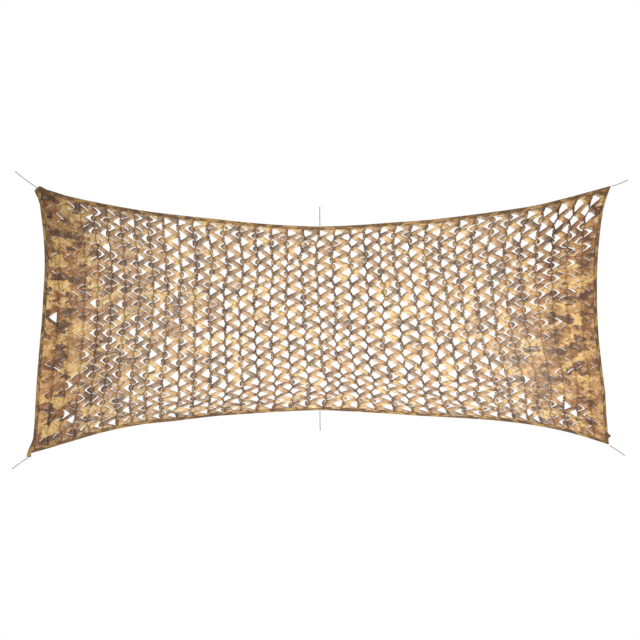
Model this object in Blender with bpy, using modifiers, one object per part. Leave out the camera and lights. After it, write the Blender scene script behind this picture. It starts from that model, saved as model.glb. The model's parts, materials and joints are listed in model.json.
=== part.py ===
"""Camouflage netting: a slit cloth panel in edge casings, hung by six tie cords.

Frame: metres, X along the net to the right, Z up, the net's front facing -Y.
The origin is the middle of the top edge, where the top middle tie cord leaves it.
"""
import math

import bmesh
import bpy
from mathutils import Matrix, Vector

COLLECTION_NAME = "camouflage_netting"
CUTTER_COLLECTION_NAME = "gap_cutters"

# Cloth, casing and cord sizes.
CLOTH_THICKNESS = 0.002
CASING_WIDTH = 0.024
CASING_THICKNESS = 0.006
CORD_DIAMETER = 0.005
PIECE_GAP = 0.0004

# The panel's grid. The casings use the same sections, so their inner edges run along the panel's.
COLUMNS = 64
ROWS = 20

# The top and bottom edges, a row for each station along the net.
HEM_COLUMNS = ("x", "top_z", "bottom_z")
HEM_STATIONS = (
    (-2.00, 0.270, -1.573),
    (-1.90, 0.256, -1.545),
    (-1.75, 0.211, -1.500),
    (-1.50, 0.157, -1.428),
    (-1.25, 0.112, -1.377),
    (-1.00, 0.080, -1.350),
    (-0.75, 0.054, -1.320),
    (-0.50, 0.027, -1.301),
    (-0.25, 0.008, -1.285),
    (0.00, 0.000, -1.277),
    (0.25, 0.009, -1.287),
    (0.50, 0.027, -1.302),
    (0.75, 0.045, -1.318),
    (1.00, 0.074, -1.332),
    (1.25, 0.107, -1.351),
    (1.50, 0.147, -1.383),
    (1.75, 0.208, -1.436),
    (2.02, 0.282, -1.519),
)

# The two ends, a row for each share of the height from the top edge down.
SIDE_COLUMNS = ("down", "left_x", "right_x")
SIDE_STATIONS = (
    (0.00, -1.963, 2.020),
    (0.05, -1.948, 1.984),
    (0.10, -1.936, 1.961),
    (0.20, -1.917, 1.938),
    (0.30, -1.912, 1.925),
    (0.40, -1.921, 1.922),
    (0.50, -1.931, 1.925),
    (0.60, -1.947, 1.936),
    (0.70, -1.962, 1.956),
    (0.80, -1.974, 1.979),
    (0.90, -1.984, 1.990),
    (1.00, -2.003, 2.006),
)

# How far the cloth leans out of its plane, +Y to the back, a row for each fold or billow.
FOLD_COLUMNS = ("x", "z", "heading_deg", "half_length", "half_width", "depth")
FOLDS = (
    (-0.60, -0.70, 4, 1.60, 0.46, 0.036),
    (0.95, -0.55, -8, 0.90, 0.34, -0.034),
    (1.30, -0.80, 82, 0.55, 0.11, 0.026),
    (1.57, -0.42, 78, 0.48, 0.060, -0.024),
    (1.70, -0.70, 96, 0.52, 0.060, 0.028),
    (1.83, -0.45, 88, 0.46, 0.050, -0.022),
    (1.80, 0.06, 40, 0.30, 0.055, -0.022),
    (1.60, -1.16, -34, 0.42, 0.060, 0.024),
    (-1.77, -0.52, 93, 0.50, 0.065, -0.028),
    (-1.60, -0.78, 84, 0.46, 0.060, 0.026),
    (-1.80, -0.02, -52, 0.32, 0.050, 0.022),
    (-1.56, 0.02, -26, 0.34, 0.050, -0.020),
    (-1.72, -1.28, 36, 0.38, 0.060, -0.024),
)
FOLD_FADE = 0.16
HEM_WAVE_DEPTH = 0.006
HEM_WAVE_LENGTH = 1.0

# The dozen largest gaps in the net, each a six-sided hole with its points to the sides.
GAP_COLUMNS = ("x", "z", "width", "height")
GAPS = (
    (1.858, 0.185, 0.062, 0.044),
    (1.872, 0.115, 0.066, 0.046),
    (1.834, 0.050, 0.060, 0.052),
    (1.559, -0.171, 0.064, 0.064),
    (-1.471, -0.119, 0.056, 0.068),
    (-1.835, -0.612, 0.046, 0.058),
    (-1.706, -1.330, 0.084, 0.060),
    (1.775, -1.306, 0.064, 0.056),
    (1.446, -1.310, 0.072, 0.044),
    (-0.560, -0.440, 0.066, 0.052),
    (0.060, -0.700, 0.070, 0.052),
    (0.640, -0.930, 0.068, 0.052),
)
GAP_SIDES = 6
GAP_CUT_DEPTH = 0.30

# Casing ends that stand past the corners, and the spike where the right casing was cut.
TOP_LEFT_BEAK = (0.018, 0.015)
LEFT_TOP_BEAK = (-0.019, -0.022)
LEFT_FOOT_OUTER = (-2.024, -1.552)
TAB_START_OUTER = (-2.034, -1.580)
TAB_END_OUTER = (-2.035, -1.601)
TAB_END_INNER = (-2.0055, -1.601)
TAB_STEP_OUT = 0.001
SPIKE_DOWN = 0.967
SPIKE_HALF_SPREAD = 0.009
SPIKE_REACH = 0.024

# Tie cords from their exits at the casing to their free ends, and how far each bows.
CORD_COLUMNS = ("name", "exit_x", "exit_z", "tip_x", "tip_z", "bow")
CORDS = (
    ("tie_cord_top_left", -1.9620, 0.2652, -2.1150, 0.3800, 0.0020),
    ("tie_cord_top_middle", 0.0000, 0.0004, -0.0015, 0.1360, 0.0010),
    ("tie_cord_top_right", 2.0255, 0.2790, 2.1380, 0.3220, -0.0030),
    ("tie_cord_bottom_left", -2.0220, -1.6030, -2.1370, -1.6840, -0.0020),
    ("tie_cord_bottom_middle", 0.0000, -1.2774, 0.0020, -1.4160, -0.0010),
    ("tie_cord_bottom_right", 2.0100, -1.5225, 2.1140, -1.5910, 0.0020),
)
CORD_SPACING = 2.5
CORD_BEVEL_RESOLUTION = 2

# Colours as linear RGBA.
CLOTH_COLOR = (0.40, 0.27, 0.14, 1.0)
CASING_COLOR = (0.20, 0.13, 0.07, 1.0)
CORD_COLOR = (0.52, 0.47, 0.36, 1.0)
CLOTH_ROUGHNESS = 0.85
CORD_ROUGHNESS = 0.75


def clear_scene():
    """Remove the objects that Blender starts with."""
    for thing in list(bpy.context.scene.objects):
        bpy.data.objects.remove(thing, do_unlink=True)


def new_collection(name):
    """Make a collection in the scene."""
    collection = bpy.data.collections.new(name)
    bpy.context.scene.collection.children.link(collection)
    return collection


def plain_material(name, color, roughness):
    """A Principled material of one colour."""
    material = bpy.data.materials.new(name)
    material.use_nodes = True
    shader = material.node_tree.nodes["Principled BSDF"]
    shader.inputs["Base Color"].default_value = color
    shader.inputs["Roughness"].default_value = roughness
    shader.inputs["Metallic"].default_value = 0.0
    return material


def slope_at(rows, column, index):
    """Slope of a table's column at one row, from its neighbours."""
    before = rows[max(index - 1, 0)]
    after = rows[min(index + 1, len(rows) - 1)]
    return (after[column] - before[column]) / (after[0] - before[0])


def smooth_value(rows, column, position):
    """Value of a table's column at a position in its first column, on a smooth curve."""
    index = 0
    while index < len(rows) - 2 and position > rows[index + 1][0]:
        index += 1
    low = rows[index]
    high = rows[index + 1]
    span = high[0] - low[0]
    t = (position - low[0]) / span
    if t < 0.0:
        return low[column] + slope_at(rows, column, index) * (position - low[0])
    if t > 1.0:
        return high[column] + slope_at(rows, column, index + 1) * (position - high[0])
    rise = high[column] - low[column]
    ease = t * t * (3.0 - 2.0 * t)
    start_pull = (slope_at(rows, column, index) * span) * (t * (1.0 - t) ** 2)
    end_pull = (slope_at(rows, column, index + 1) * span) * (t * t * (t - 1.0))
    return low[column] + rise * ease + start_pull + end_pull


def smooth_step(value):
    """Rise from 0 to 1 with level ends."""
    share = min(max(value, 0.0), 1.0)
    return share * share * (3.0 - 2.0 * share)


def fold_depth(x, z):
    """Sum of the folds and billows at a place on the net."""
    depth = 0.0
    for fold_x, fold_z, heading, half_length, half_width, height in FOLDS:
        angle = math.radians(heading)
        along = (x - fold_x) * math.cos(angle) + (z - fold_z) * math.sin(angle)
        across = (z - fold_z) * math.cos(angle) - (x - fold_x) * math.sin(angle)
        reach = (along / half_length) ** 2 + (across / half_width) ** 2
        depth += height * math.exp(-reach)
    return depth


def net_point(along, down, inset):
    """Point at shares of the length and height, with the outline drawn in by inset."""
    left = smooth_value(SIDE_STATIONS, SIDE_COLUMNS.index("left_x"), down)
    right = smooth_value(SIDE_STATIONS, SIDE_COLUMNS.index("right_x"), down)
    x = (left + inset) + (right - left - 2.0 * inset) * along
    top = smooth_value(HEM_STATIONS, HEM_COLUMNS.index("top_z"), x)
    bottom = smooth_value(HEM_STATIONS, HEM_COLUMNS.index("bottom_z"), x)
    z = (top - inset) + (bottom - top + 2.0 * inset) * down
    edge_distance = min(x - left, right - x, top - z, z - bottom)
    wave = HEM_WAVE_DEPTH * math.sin(2.0 * math.pi * x / HEM_WAVE_LENGTH)
    y = wave + fold_depth(x, z) * smooth_step(edge_distance / FOLD_FADE)
    return Vector((x, y, z))


def sheet_object(name, columns, rows, place, thickness, material, collection):
    """A grid laid out by place(along, down), thickened about its middle."""
    bm = bmesh.new()
    bmesh.ops.create_grid(bm, x_segments=columns, y_segments=rows, size=0.5)
    for vert in bm.verts:
        vert.co = place(vert.co.x + 0.5, 0.5 - vert.co.y)
    mesh = bpy.data.meshes.new(name)
    bm.to_mesh(mesh)
    bm.free()
    sheet = bpy.data.objects.new(name, mesh)
    collection.objects.link(sheet)
    mesh.materials.append(material)
    solidify = sheet.modifiers.new("thickness", "SOLIDIFY")
    solidify.thickness = thickness
    solidify.offset = 0.0
    solidify.use_even_offset = True
    return sheet


def add_gap_cutters(collection):
    """A six-sided prism through the cloth for each of the largest gaps."""
    corner_height = math.cos(math.pi / GAP_SIDES)
    for index, (x, z, width, height) in enumerate(GAPS):
        name = f"gap_cutter_{index + 1:02d}"
        bm = bmesh.new()
        size = Matrix.Diagonal((width / 2.0, height / 2.0 / corner_height, 1.0, 1.0))
        points_sideways = Matrix.Rotation(math.pi / GAP_SIDES, 4, "Z")
        through_cloth = Matrix.Rotation(math.pi / 2.0, 4, "X")
        bmesh.ops.create_cone(
            bm,
            cap_ends=True,
            segments=GAP_SIDES,
            radius1=1.0,
            radius2=1.0,
            depth=GAP_CUT_DEPTH,
            matrix=through_cloth @ size @ points_sideways,
        )
        mesh = bpy.data.meshes.new(name)
        bm.to_mesh(mesh)
        bm.free()
        cutter = bpy.data.objects.new(name, mesh)
        cutter.location = (x, 0.0, z)
        cutter.hide_render = True
        cutter.display_type = "WIRE"
        collection.objects.link(cutter)


def add_net_panel(collection, cutters):
    """The slit cloth as one sheet inside the casings, with its largest gaps cut."""
    inset = CASING_WIDTH + PIECE_GAP

    def place(along, down):
        return net_point(along, down, inset)

    material = plain_material("net_cloth", CLOTH_COLOR, CLOTH_ROUGHNESS)
    panel = sheet_object("net_panel", COLUMNS, ROWS, place, CLOTH_THICKNESS, material, collection)
    cut = panel.modifiers.new("gaps", "BOOLEAN")
    cut.operation = "DIFFERENCE"
    cut.operand_type = "COLLECTION"
    cut.collection = cutters
    cut.solver = "EXACT"


def moved(point, offset):
    """A point shifted in the net's plane."""
    return point + Vector((offset[0], 0.0, offset[1]))


def in_plane(place):
    """A point of the net's plane from its x and z."""
    return Vector((place[0], 0.0, place[1]))


def add_level_casing(name, down, beak, collection):
    """The casing along the top or the bottom edge, with a beak at its left end if given."""
    inward = 1.0 if down == 0.0 else -1.0

    def place(along, across):
        depth_share = across if inward > 0.0 else 1.0 - across
        point = net_point(along, down, CASING_WIDTH * depth_share)
        if along < 0.5 / COLUMNS and depth_share < 0.5:
            point = moved(point, beak)
        return point

    material = plain_material(name + "_cloth", CASING_COLOR, CLOTH_ROUGHNESS)
    sheet_object(name, COLUMNS, 1, place, CASING_THICKNESS, material, collection)


def side_shares(extra):
    """Shares of the height for a side casing's sections, from mitre to mitre."""
    mitre_gap = 1.5 * PIECE_GAP / (HEM_STATIONS[0][1] - HEM_STATIONS[0][2])
    shares = [row / ROWS for row in range(ROWS + 1)]
    shares[0] = mitre_gap
    shares[-1] = 1.0 - mitre_gap
    return sorted(shares + list(extra))


def add_left_casing(collection):
    """The casing down the left end: its top is a beak and its bottom runs on as a tab."""
    shares = side_shares(())
    outer = [net_point(0.0, share, 0.0) for share in shares]
    inner = [net_point(0.0, share, CASING_WIDTH) for share in shares]
    tab_start_inner = moved(outer[-1], (-TAB_STEP_OUT, -TAB_STEP_OUT))
    outer[0] = moved(outer[0], LEFT_TOP_BEAK)
    outer[-1] = in_plane(LEFT_FOOT_OUTER)
    outer += [in_plane(TAB_START_OUTER), in_plane(TAB_END_OUTER)]
    inner += [tab_start_inner, in_plane(TAB_END_INNER)]
    sections = len(outer) - 1

    def place(across, down):
        index = round(down * sections)
        return inner[index] if across > 0.5 else outer[index]

    material = plain_material("edge_casing_left_cloth", CASING_COLOR, CLOTH_ROUGHNESS)
    sheet_object("edge_casing_left", 1, sections, place, CASING_THICKNESS, material, collection)


def add_right_casing(collection):
    """The casing down the right end, with a spike of cloth standing out near its foot."""
    spike = (SPIKE_DOWN - SPIKE_HALF_SPREAD, SPIKE_DOWN, SPIKE_DOWN + SPIKE_HALF_SPREAD)
    shares = side_shares(spike)
    sections = len(shares) - 1

    def place(across, down):
        share = shares[round(down * sections)]
        point = net_point(1.0, share, CASING_WIDTH * (1.0 - across))
        if share == SPIKE_DOWN and across > 0.5:
            point = moved(point, (SPIKE_REACH, 0.0))
        return point

    material = plain_material("edge_casing_right_cloth", CASING_COLOR, CLOTH_ROUGHNESS)
    sheet_object("edge_casing_right", 1, sections, place, CASING_THICKNESS, material, collection)


def add_tie_cord(name, start, end, bow, collection):
    """A straight tube with a slight bow, from its exit to its free end."""
    run = end - start
    side = Vector((-run.z, 0.0, run.x)).normalized()
    count = max(4, round(run.length / (CORD_SPACING * CORD_DIAMETER)) + 1)
    curve = bpy.data.curves.new(name, "CURVE")
    curve.dimensions = "3D"
    curve.bevel_depth = CORD_DIAMETER / 2.0
    curve.bevel_resolution = CORD_BEVEL_RESOLUTION
    curve.use_fill_caps = True
    spline = curve.splines.new("POLY")
    spline.points.add(count - 1)
    for index, point in enumerate(spline.points):
        share = index / (count - 1)
        place = start + run * share + side * (bow * 4.0 * share * (1.0 - share))
        point.co = (place.x, place.y, place.z, 1.0)
    cord = bpy.data.objects.new(name, curve)
    curve.materials.append(plain_material(name + "_yarn", CORD_COLOR, CORD_ROUGHNESS))
    collection.objects.link(cord)


def build():
    """Make every piece of the net."""
    clear_scene()
    net = new_collection(COLLECTION_NAME)
    cutters = new_collection(CUTTER_COLLECTION_NAME)
    add_gap_cutters(cutters)
    add_net_panel(net, cutters)
    add_level_casing("edge_casing_top", 0.0, TOP_LEFT_BEAK, net)
    add_level_casing("edge_casing_bottom", 1.0, (0.0, 0.0), net)
    add_left_casing(net)
    add_right_casing(net)
    for name, exit_x, exit_z, tip_x, tip_z, bow in CORDS:
        start = Vector((exit_x, 0.0, exit_z))
        end = Vector((tip_x, 0.0, tip_z))
        add_tie_cord(name, start, end, bow, net)


build()
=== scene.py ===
# %% [markdown]
# # Camouflage netting
# The object is a slit cloth net, stretched out by six thin cords. On the real thing one length of
# printed polyester is cut with rows of chevron slits, and pulling the cloth sideways turns each
# slit into an opening with a curled tongue beside it. Narrow casings are sewn round the four
# edges. It could be modelled as a flat plane with a cut-out texture, but then it would have no
# strands and no tongues from the side, so every slit is real geometry here.

import json
import math

import bmesh
import bpy
import numpy as np
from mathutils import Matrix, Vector


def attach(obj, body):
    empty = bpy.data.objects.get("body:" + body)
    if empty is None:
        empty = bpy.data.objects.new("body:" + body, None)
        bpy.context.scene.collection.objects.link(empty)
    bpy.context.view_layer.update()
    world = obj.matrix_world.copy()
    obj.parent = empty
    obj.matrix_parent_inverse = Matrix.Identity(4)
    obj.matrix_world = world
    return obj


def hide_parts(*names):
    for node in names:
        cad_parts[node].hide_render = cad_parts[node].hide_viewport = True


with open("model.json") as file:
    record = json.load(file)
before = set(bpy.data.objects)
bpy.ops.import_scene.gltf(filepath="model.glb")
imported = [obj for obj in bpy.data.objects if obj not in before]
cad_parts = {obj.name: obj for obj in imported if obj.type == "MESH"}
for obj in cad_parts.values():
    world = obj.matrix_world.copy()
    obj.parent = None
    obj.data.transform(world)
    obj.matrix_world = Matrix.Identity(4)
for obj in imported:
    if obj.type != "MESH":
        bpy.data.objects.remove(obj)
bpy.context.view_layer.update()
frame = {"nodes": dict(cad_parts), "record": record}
print("nodes in the frame:", len(frame["nodes"]))

# %% [markdown]
# ## Two small helpers
# Colours are written as sRGB hex, which is how a cloth print is usually specified, and Blender
# wants them linear, so one function converts them. Another adds a shader node with its settings
# and links.

# %% Colour and node helpers
def linear(code, alpha=1.0):
    """An sRGB hex colour as linear RGBA."""
    channels = [int(code[i : i + 2], 16) / 255.0 for i in (1, 3, 5)]
    return tuple(
        c / 12.92 if c <= 0.04045 else ((c + 0.055) / 1.055) ** 2.4 for c in channels
    ) + (alpha,)


def add_node(tree, kind, inputs=None, **settings):
    """Add a node, set its properties, and give its inputs a value or a link."""
    node = tree.nodes.new(kind)
    for name, value in settings.items():
        setattr(node, name, value)
    for name, value in (inputs or {}).items():
        if isinstance(value, bpy.types.NodeSocket):
            tree.links.new(value, node.inputs[name])
        else:
            node.inputs[name].default_value = value
    return node

# %% [markdown]
# ## Camera
# The net is seen square on. A longish lens well back keeps the two ends the same size, and the
# frame is a little wider than the net, so that the free ends of all six cords show.

# %% Camera
VIEW_WIDTH = 4.442
VIEW_CENTRE_Z = -0.650
LENS_MM = 85.0
SENSOR_MM = 36.0


def add_object(name, data):
    """Make an object of a mesh, camera or light and link it to the scene."""
    made = bpy.data.objects.new(name, data)
    bpy.context.scene.collection.objects.link(made)
    return made


camera_data = bpy.data.cameras.new("camera")
camera_data.lens = LENS_MM
camera_data.sensor_width = SENSOR_MM
camera = add_object("camera", camera_data)
camera.location = (0.0, -VIEW_WIDTH * LENS_MM / SENSOR_MM, VIEW_CENTRE_Z)
camera.rotation_euler = (math.radians(90.0), 0.0, 0.0)
bpy.context.scene.camera = camera
print("camera stands", round(-camera.location.y, 2), "m in front of the net")

# %% [markdown]
# ## Tie cords
# Each cord is a short length of three-strand twisted cord, pulled straight by whatever the net is
# tied to. A curve with a round bevel would give a smooth wire, so the cord is swept as a mesh: a
# three-lobed section that turns as it goes along, with a heat-sealed bead at the free end.

# %% Cord routes
CORD_DIAMETER = 0.005
CORD_ROUTES = (
    # node, exit x, exit z, tip x, tip z, bow
    ("tie_cord_top_left", -1.9620, 0.2652, -2.1150, 0.3800, 0.0020),
    ("tie_cord_top_middle", 0.0000, 0.0004, -0.0015, 0.1360, 0.0010),
    ("tie_cord_top_right", 2.0255, 0.2790, 2.1380, 0.3220, -0.0030),
    ("tie_cord_bottom_left", -2.0220, -1.6030, -2.1370, -1.6840, -0.0020),
    ("tie_cord_bottom_middle", 0.0000, -1.2774, 0.0020, -1.4160, -0.0010),
    ("tie_cord_bottom_right", 2.0100, -1.5225, 2.1140, -1.5910, 0.0020),
)
CORD_RING_STEP = 0.0012
CORD_LEAST_STEPS = 4
CORD_STRANDS = 3
STRAND_GROOVE = 0.16
CORD_TWIST_LENGTH = 0.016
CORD_SECTION_POINTS = 24
BEAD_LENGTH = 0.007
BEAD_SWELL = 0.30


def cord_route(start, end, bow, step):
    """Points of a straight run with a slight bow, step apart."""
    run = end - start
    side = Vector((-run.z, 0.0, run.x)).normalized()
    count = max(CORD_LEAST_STEPS, round(run.length / step))
    shares = [index / count for index in range(count + 1)]
    return [start + run * t + side * (bow * 4.0 * t * (1.0 - t)) for t in shares]

# %% [markdown]
# Along the cord the section turns once for every lay length of 16 mm, as twisted strands do. The
# grooves fade and the section swells over the last 7 mm, where the strands were melted together.

# %% Sweep a cord
def sweep_cord(name, points):
    """Sweep a turning three-lobed section along the points and close both ends."""
    bm = bmesh.new()
    rings = []
    length = 0.0
    total = sum((b - a).length for a, b in zip(points, points[1:]))
    for index, point in enumerate(points):
        before = points[max(index - 1, 0)]
        after = points[min(index + 1, len(points) - 1)]
        forward = (after - before).normalized()
        across = forward.cross(Vector((0.0, 1.0, 0.0))).normalized()
        upward = across.cross(forward)
        if index:
            length += (point - before).length
        to_tip = max(0.0, 1.0 - (total - length) / BEAD_LENGTH)
        swell = 1.0 + BEAD_SWELL * math.sin(math.pi * to_tip) if to_tip > 0.0 else 1.0
        groove = STRAND_GROOVE * (1.0 - to_tip)
        ring = []
        for spoke in range(CORD_SECTION_POINTS):
            angle = 2.0 * math.pi * spoke / CORD_SECTION_POINTS
            turn = 2.0 * math.pi * length / CORD_TWIST_LENGTH
            bulge = abs(math.cos(0.5 * CORD_STRANDS * (angle - turn)))
            radius = 0.5 * CORD_DIAMETER * swell * (1.0 - groove * (1.0 - bulge) * 2.0)
            place = point + (across * math.cos(angle) + upward * math.sin(angle)) * radius
            ring.append(bm.verts.new(place))
        rings.append(ring)
    for low, high in zip(rings, rings[1:]):
        for spoke in range(CORD_SECTION_POINTS):
            after = (spoke + 1) % CORD_SECTION_POINTS
            bm.faces.new((low[spoke], low[after], high[after], high[spoke]))
    bm.faces.new(rings[0][::-1])
    bm.faces.new(rings[-1])
    bmesh.ops.recalc_face_normals(bm, faces=bm.faces)
    mesh = bpy.data.meshes.new(name)
    bm.to_mesh(mesh)
    bm.free()
    mesh.shade_smooth()
    return add_object(name, mesh)

# %% [markdown]
# ### Build the cords
# Each route becomes one mesh: a limp cord of the given diameter, pulled taut from where it leaves
# the net to its bare end. A cord that shows from end to end has exactly its visible length, so
# nothing is coiled away.

# %% Cords
cords = []
for node, exit_x, exit_z, tip_x, tip_z, bow in CORD_ROUTES:
    start = Vector((exit_x, 0.0, exit_z))
    end = Vector((tip_x, 0.0, tip_z))
    path = cord_route(start, end, bow, CORD_RING_STEP)
    cord = sweep_cord(node.replace("tie_cord", "twisted_cord"), path)
    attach(cord, "root")
    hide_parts(node)
    cords.append(cord)

# %% [markdown]
# ## The net's outline and folds
# The cords draw all four edges inwards in shallow curves. The tables hold the edges and the folds
# at a few stations, and a smooth curve runs between the stations, so the visible cloth lies
# exactly where the frame's plain panel does.

# %% Outline tables
def table(*rows):
    """Rows of numbers as an array."""
    return np.array(rows)


HEM_STATIONS = table(
    # x, top edge z, bottom edge z
    (-2.00, 0.270, -1.573),
    (-1.90, 0.256, -1.545),
    (-1.75, 0.211, -1.500),
    (-1.50, 0.157, -1.428),
    (-1.25, 0.112, -1.377),
    (-1.00, 0.080, -1.350),
    (-0.75, 0.054, -1.320),
    (-0.50, 0.027, -1.301),
    (-0.25, 0.008, -1.285),
    (0.00, 0.000, -1.277),
    (0.25, 0.009, -1.287),
    (0.50, 0.027, -1.302),
    (0.75, 0.045, -1.318),
    (1.00, 0.074, -1.332),
    (1.25, 0.107, -1.351),
    (1.50, 0.147, -1.383),
    (1.75, 0.208, -1.436),
    (2.02, 0.282, -1.519),
)
SIDE_STATIONS = table(
    # share of the height from the top, left edge x, right edge x
    (0.00, -1.963, 2.020),
    (0.05, -1.948, 1.984),
    (0.10, -1.936, 1.961),
    (0.20, -1.917, 1.938),
    (0.30, -1.912, 1.925),
    (0.40, -1.921, 1.922),
    (0.50, -1.931, 1.925),
    (0.60, -1.947, 1.936),
    (0.70, -1.962, 1.956),
    (0.80, -1.974, 1.979),
    (0.90, -1.984, 1.990),
    (1.00, -2.003, 2.006),
)
FOLDS = (
    # x, z, heading in degrees, half length, half width, depth to the back
    (-0.60, -0.70, 4, 1.60, 0.46, 0.036),
    (0.95, -0.55, -8, 0.90, 0.34, -0.034),
    (1.30, -0.80, 82, 0.55, 0.11, 0.026),
    (1.57, -0.42, 78, 0.48, 0.060, -0.024),
    (1.70, -0.70, 96, 0.52, 0.060, 0.028),
    (1.83, -0.45, 88, 0.46, 0.050, -0.022),
    (1.80, 0.06, 40, 0.30, 0.055, -0.022),
    (1.60, -1.16, -34, 0.42, 0.060, 0.024),
    (-1.77, -0.52, 93, 0.50, 0.065, -0.028),
    (-1.60, -0.78, 84, 0.46, 0.060, 0.026),
    (-1.80, -0.02, -52, 0.32, 0.050, 0.022),
    (-1.56, 0.02, -26, 0.34, 0.050, -0.020),
    (-1.72, -1.28, 36, 0.38, 0.060, -0.024),
)
FOLD_FADE = 0.16
HEM_WAVE_DEPTH = 0.006
HEM_WAVE_LENGTH = 1.0

# %% [markdown]
# ### From tables to a surface
# Two small functions do all the smoothing. One runs a curve through a table's stations, so an
# edge has no corners between them, and the other rises from 0 to 1 with level ends, which is
# handy for fading. A subdivided plane with modifiers could be bent too, but exact positions are
# easier as plain numbers.

# %% Smooth curves through a table
def smooth_value(table, column, position):
    """Values of a table's column at positions in its first column, on a smooth curve."""
    keys = table[:, 0]
    values = table[:, column]
    slopes = np.empty(len(keys))
    slopes[1:-1] = (values[2:] - values[:-2]) / (keys[2:] - keys[:-2])
    slopes[0] = (values[1] - values[0]) / (keys[1] - keys[0])
    slopes[-1] = (values[-1] - values[-2]) / (keys[-1] - keys[-2])
    position = np.asarray(position, float)
    low = np.clip(np.searchsorted(keys, position) - 1, 0, len(keys) - 2)
    span = keys[low + 1] - keys[low]
    t = (position - keys[low]) / span
    inside = np.clip(t, 0.0, 1.0)
    ease = inside * inside * (3.0 - 2.0 * inside)
    start_pull = slopes[low] * span * inside * (1.0 - inside) ** 2
    end_pull = slopes[low + 1] * span * inside * inside * (inside - 1.0)
    rise = values[low + 1] - values[low]
    past = np.where(t < 0.0, slopes[low], slopes[low + 1]) * (t - inside) * span
    return values[low] + rise * ease + start_pull + end_pull + past


def smooth_step(value):
    """Rise from 0 to 1 with level ends."""
    share = np.clip(value, 0.0, 1.0)
    return share * share * (3.0 - 2.0 * share)

# %% [markdown]
# The folds are long soft troughs and ridges, each a smooth hump with its own place, heading and
# size. They die away near the hems, because the casings hold the cloth flat there. The last
# function puts any share of the net's length and height on this surface.

# %% Folds and places on the net
def fold_depth(x, z):
    """Sum of the folds and billows at places on the net."""
    depth = np.zeros_like(x)
    for fold_x, fold_z, heading, half_length, half_width, height in FOLDS:
        angle = math.radians(heading)
        along = (x - fold_x) * math.cos(angle) + (z - fold_z) * math.sin(angle)
        across = (z - fold_z) * math.cos(angle) - (x - fold_x) * math.sin(angle)
        depth = depth + height * np.exp(-((along / half_length) ** 2) - (across / half_width) ** 2)
    return depth


def net_point(along, down, inset):
    """Points at shares of the length and height, with the outline drawn in by inset."""
    left = smooth_value(SIDE_STATIONS, 1, down)
    right = smooth_value(SIDE_STATIONS, 2, down)
    x = (left + inset) + (right - left - 2.0 * inset) * along
    top = smooth_value(HEM_STATIONS, 1, x)
    bottom = smooth_value(HEM_STATIONS, 2, x)
    z = (top - inset) + (bottom - top + 2.0 * inset) * down
    edge = np.minimum(np.minimum(x - left, right - x), np.minimum(top - z, z - bottom))
    wave = HEM_WAVE_DEPTH * np.sin(2.0 * math.pi * x / HEM_WAVE_LENGTH)
    y = wave + fold_depth(x, z) * smooth_step(edge / FOLD_FADE)
    return np.stack([x, y, z], axis=-1)

# %% [markdown]
# ## The slit pattern
# Seen flat, the cloth is divided by upright lines 93 mm apart. Left of every line is a column of
# "<" slits and right of it a column of ">" slits, a half step lower. Pulled sideways, each line
# becomes a narrow strip, each slit an opening, and the cloth between two lines a zigzag strand.
# The net is 37 columns wide and 16 and a half rows high.

# %% Slit pattern sizes
COLUMNS = 37
ROWS = 16.5
FLAT_COLUMN = 0.093
FLAT_ROW = 0.109
STRIP_HALF = 0.047
SLIT_REACH = 0.62
SLIT_HALF_CLOSED = 0.26
SLIT_HALF_OPEN = 0.345
PANEL_INSET = 0.016

# %% [markdown]
# The stretched pattern is not even. The columns are narrower at the ends, the rows crowd together
# towards the lower edge in places, the lines lean a little, and the slits stand widest open in
# the middle and at the free corners. Each of these is a short table that the smooth curve runs
# through.

# %% Uneven spacing
COLUMN_PITCH = table(
    # share of the columns, relative pitch
    (0.00, 12.6),
    (0.12, 13.2),
    (0.22, 14.2),
    (0.30, 14.9),
    (0.50, 15.7),
    (0.65, 16.1),
    (0.80, 15.4),
    (0.92, 14.0),
    (1.00, 13.2),
)
ROW_SPACING = table(
    # share of the rows, share of the height: the rows crowd together towards the bottom
    (0.00, 0.000),
    (0.06, 0.056),
    (0.12, 0.122),
    (0.40, 0.432),
    (0.70, 0.762),
    (0.80, 0.866),
    (0.90, 0.940),
    (1.00, 1.000),
)
CROWDING = table(
    # share of the length, how much of that crowding shows
    (0.00, 0.15),
    (0.12, 0.35),
    (0.28, 1.00),
    (0.40, 0.80),
    (0.50, 0.45),
    (0.60, 0.65),
    (0.70, 1.00),
    (0.80, 0.80),
    (0.90, 0.45),
    (1.00, 0.15),
)
LEAN = table(
    # share of the length, drift of the foot to the right against the head
    (0.00, 0.000),
    (0.20, 0.004),
    (0.40, 0.008),
    (0.55, 0.018),
    (0.68, 0.038),
    (0.80, 0.044),
    (0.92, 0.016),
    (1.00, 0.000),
)

# %% [markdown]
# Openness runs from 0, a slit that hangs shut, to about 1, the widest diamond. It is lowest in
# the two ends, where the cords hold the cloth in folds, and the free corner at the top right is
# the exception.

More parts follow.
